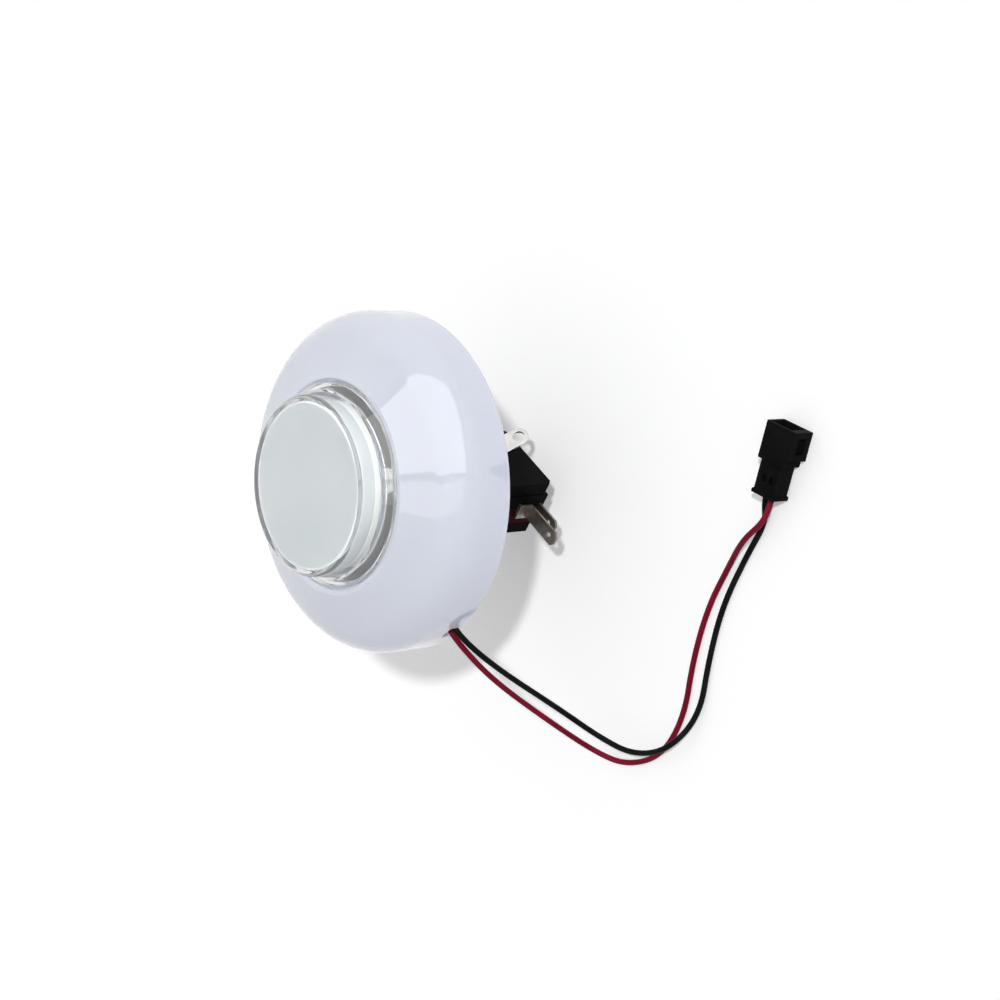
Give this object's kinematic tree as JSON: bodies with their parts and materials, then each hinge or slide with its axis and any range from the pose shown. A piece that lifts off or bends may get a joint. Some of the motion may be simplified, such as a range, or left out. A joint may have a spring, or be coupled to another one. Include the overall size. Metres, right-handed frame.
{
  "type": "arcade push button",
  "caption": "Round clear push button with a crowned cap in a milky dome bezel, on a threaded stem with lock nut, lamp holder, snap switch and a two-wire lead.",
  "frame": {"origin": "the button's axis where it meets the panel's front plane, level with the rear edge of the dome bezel", "axes": "+Z along the button's axis, out of the panel towards the player; +Y up in the picture; the lead leaves the bezel on the -Y side"},
  "size_m": [0.1639, 0.1405, 0.0884],
  "materials": {
    "milky_plastic": "glossy milky white",
    "board": "white solder mask",
    "led_body": "white package with a clear window",
    "resistor": "black chip with tinned ends",
    "steel": "plated steel",
    "solder": "bright solder",
    "clear_plastic": "clear glossy plastic",
    "black_plastic": "black moulded plastic",
    "white_plastic": "frosted white plastic",
    "tinned_brass": "bright tin plating",
    "lamp_base": "off-white moulded plastic",
    "lamp_lens": "clear lens",
    "maroon_plastic": "maroon moulded plastic",
    "red_plastic": "red moulded plastic",
    "copper_alloy": "bare spring alloy",
    "dull_brass": "dull plated brass",
    "wire_red": "satin red insulation",
    "wire_black": "satin black insulation",
    "connector_plastic": "black moulded plastic"
  },
  "bodies": {
    "housing": {"dome_shell": "milky_plastic", "led_board": "board", "board_leds": "led_body", "board_resistors": "resistor", "board_screws": "steel", "solder_joints": "solder", "button_body": "clear_plastic", "lock_nut": "black_plastic", "return_spring": "steel", "lamp_holder": "black_plastic", "lamp_terminal_upper": "tinned_brass", "lamp_terminal_lower": "tinned_brass", "lamp_base": "lamp_base", "lamp_lens": "lamp_lens", "switch_base": "maroon_plastic", "switch_cover": "black_plastic", "switch_blade": "copper_alloy", "switch_terminal_common": "dull_brass", "switch_terminal_open": "dull_brass", "switch_terminal_closed": "dull_brass", "lead_wire_red": "wire_red", "lead_wire_black": "wire_black", "connector_housing": "connector_plastic", "connector_contacts": "tinned_brass"},
    "plunger": {"plunger_cap": "clear_plastic", "plunger_diffuser": "white_plastic", "plunger_carrier": "white_plastic"},
    "switch_plunger": {"switch_pin": "red_plastic"}
  },
  "joints": [
    {"name": "plunger_press", "type": "slide", "parent": "housing", "child": "plunger", "axis": [0, 0, -1], "range_m": [0, 0.004], "stiffness_N_per_m": 300, "springref_m": -0.004, "deforming": ["return_spring"]},
    {"name": "switch_pin_press", "type": "slide", "parent": "housing", "child": "switch_plunger", "axis": [0, 0, -1], "range_m": [0, 0.002], "stiffness_N_per_m": 150, "springref_m": -0.002, "deforming": ["switch_blade"]}
  ],
  "couplings": [
    {"joint": "switch_pin_press", "follows": "plunger_press", "ratio": 0.5}
  ]
}
